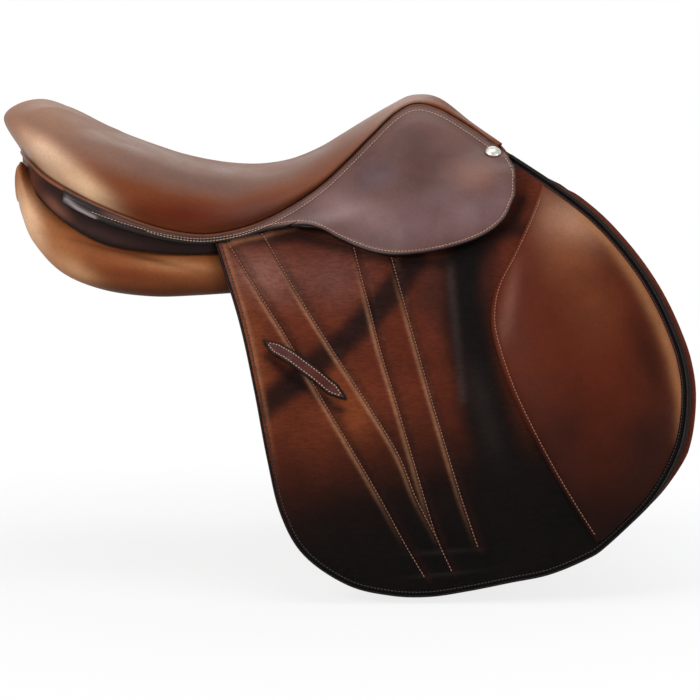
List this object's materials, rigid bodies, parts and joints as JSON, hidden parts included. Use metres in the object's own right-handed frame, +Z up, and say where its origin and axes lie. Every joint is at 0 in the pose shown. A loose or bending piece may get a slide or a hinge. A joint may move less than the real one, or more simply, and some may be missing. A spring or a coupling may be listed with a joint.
{
  "type": "saddle",
  "caption": "English-style riding saddle: padded leather seat on a sprung tree, a single lifting flap each side with knee pad, short skirts over stirrup bars, girth straps inside.",
  "frame": {"origin": "On the middle plane, straight below the deepest point of the seat, level with the lowest part of the rear panels, where the saddle sits on the horse's back.", "axes": "+X forwards to the pommel, +Y to the horse's left, +Z up. The picture shows the -Y side."},
  "size_m": [0.6177, 0.42, 0.4328],
  "materials": {
    "seat_leather": "worn, soft sheen",
    "foam": "open-cell foam",
    "black_leather": "dark, semi-matt",
    "panel_leather": "smooth tan, soft sheen",
    "skirt_leather": "polished by wear",
    "flap_leather": "worn brown, darker at the foot",
    "webbing": "woven",
    "laminated_wood": "matt",
    "spring_steel": "dull",
    "bright_steel": "bright, rubbed"
  },
  "bodies": {
    "saddle_body": {"seat_cover": "seat_leather", "seat_foam": "foam", "seat_welt": "black_leather", "cantle_facing": "black_leather", "pommel_facing": "panel_leather", "panel_right": "panel_leather", "panel_left": "panel_leather", "skirt_right": "skirt_leather", "skirt_left": "skirt_leather", "rear_girth_strap_root_right": "flap_leather", "rear_girth_strap_root_left": "flap_leather", "front_girth_strap_root_right": "flap_leather", "front_girth_strap_root_left": "flap_leather", "rear_girth_web": "webbing", "front_girth_web": "webbing", "rear_seat_web": "webbing", "middle_seat_web": "webbing", "lengthwise_seat_web": "webbing", "tree": "laminated_wood", "gullet_arch": "laminated_wood", "gullet_plate": "spring_steel", "spring_right": "spring_steel", "spring_left": "spring_steel", "skirt_nail_right": "bright_steel", "skirt_nail_left": "bright_steel", "stirrup_bar_right": "bright_steel", "stirrup_bar_left": "bright_steel", "catch_pin_right": "bright_steel", "catch_pin_left": "bright_steel"},
    "flap_right_body": {"flap_right": "flap_leather", "flap_lining_right": "panel_leather", "flap_binding_right": "black_leather", "knee_pad_right": "flap_leather", "rear_channel_right": "flap_leather", "front_channel_right": "flap_leather", "stirrup_leather_keeper_right": "black_leather"},
    "skirt_lobe_right_body": {"skirt_lobe_right": "skirt_leather"},
    "stirrup_catch_right_body": {"stirrup_catch_right": "bright_steel"},
    "rear_girth_strap_right_body": {"rear_girth_strap_right": "flap_leather"},
    "front_girth_strap_right_body": {"front_girth_strap_right": "flap_leather"},
    "flap_left_body": {"flap_left": "flap_leather", "flap_lining_left": "panel_leather", "flap_binding_left": "black_leather", "knee_pad_left": "flap_leather", "rear_channel_left": "flap_leather", "front_channel_left": "flap_leather", "stirrup_leather_keeper_left": "black_leather"},
    "skirt_lobe_left_body": {"skirt_lobe_left": "skirt_leather"},
    "stirrup_catch_left_body": {"stirrup_catch_left": "bright_steel"},
    "rear_girth_strap_left_body": {"rear_girth_strap_left": "flap_leather"},
    "front_girth_strap_left_body": {"front_girth_strap_left": "flap_leather"}
  },
  "joints": [
    {"name": "flap_lift_right", "type": "hinge", "parent": "saddle_body", "child": "flap_right_body", "pos_m": [-0.033, -0.12, 0.046], "axis": [-0.9679, -0.0437, -0.2474], "range_deg": [0, 80]},
    {"name": "skirt_lift_right", "type": "hinge", "parent": "flap_right_body", "child": "skirt_lobe_right_body", "pos_m": [0.036, -0.1051, 0.0637], "axis": [-0.9689, 0, -0.2474], "range_deg": [0, 75]},
    {"name": "stirrup_catch_right", "type": "hinge", "parent": "saddle_body", "child": "stirrup_catch_right_body", "pos_m": [0.156, -0.0968, 0.084], "axis": [0, 1, 0], "range_deg": [0, 90]},
    {"name": "rear_girth_strap_swing_right", "type": "hinge", "parent": "saddle_body", "child": "rear_girth_strap_right_body", "pos_m": [0.02812, -0.12557, -0.00928], "axis": [-1, 0, 0], "range_deg": [-30, 17]},
    {"name": "front_girth_strap_swing_right", "type": "hinge", "parent": "saddle_body", "child": "front_girth_strap_right_body", "pos_m": [0.11938, -0.13207, -0.00795], "axis": [-1, 0, 0], "range_deg": [-30, 15]},
    {"name": "flap_lift_left", "type": "hinge", "parent": "saddle_body", "child": "flap_left_body", "pos_m": [-0.033, 0.12, 0.046], "axis": [0.9679, -0.0437, 0.2474], "range_deg": [0, 80]},
    {"name": "skirt_lift_left", "type": "hinge", "parent": "flap_left_body", "child": "skirt_lobe_left_body", "pos_m": [0.036, 0.1051, 0.0637], "axis": [0.9689, 0, 0.2474], "range_deg": [0, 75]},
    {"name": "stirrup_catch_left", "type": "hinge", "parent": "saddle_body", "child": "stirrup_catch_left_body", "pos_m": [0.156, 0.0968, 0.084], "axis": [0, 1, 0], "range_deg": [0, 90]},
    {"name": "rear_girth_strap_swing_left", "type": "hinge", "parent": "saddle_body", "child": "rear_girth_strap_left_body", "pos_m": [0.02812, 0.12557, -0.00928], "axis": [1, 0, 0], "range_deg": [-30, 17]},
    {"name": "front_girth_strap_swing_left", "type": "hinge", "parent": "saddle_body", "child": "front_girth_strap_left_body", "pos_m": [0.11938, 0.13207, -0.00795], "axis": [1, 0, 0], "range_deg": [-30, 15]}
  ]
}
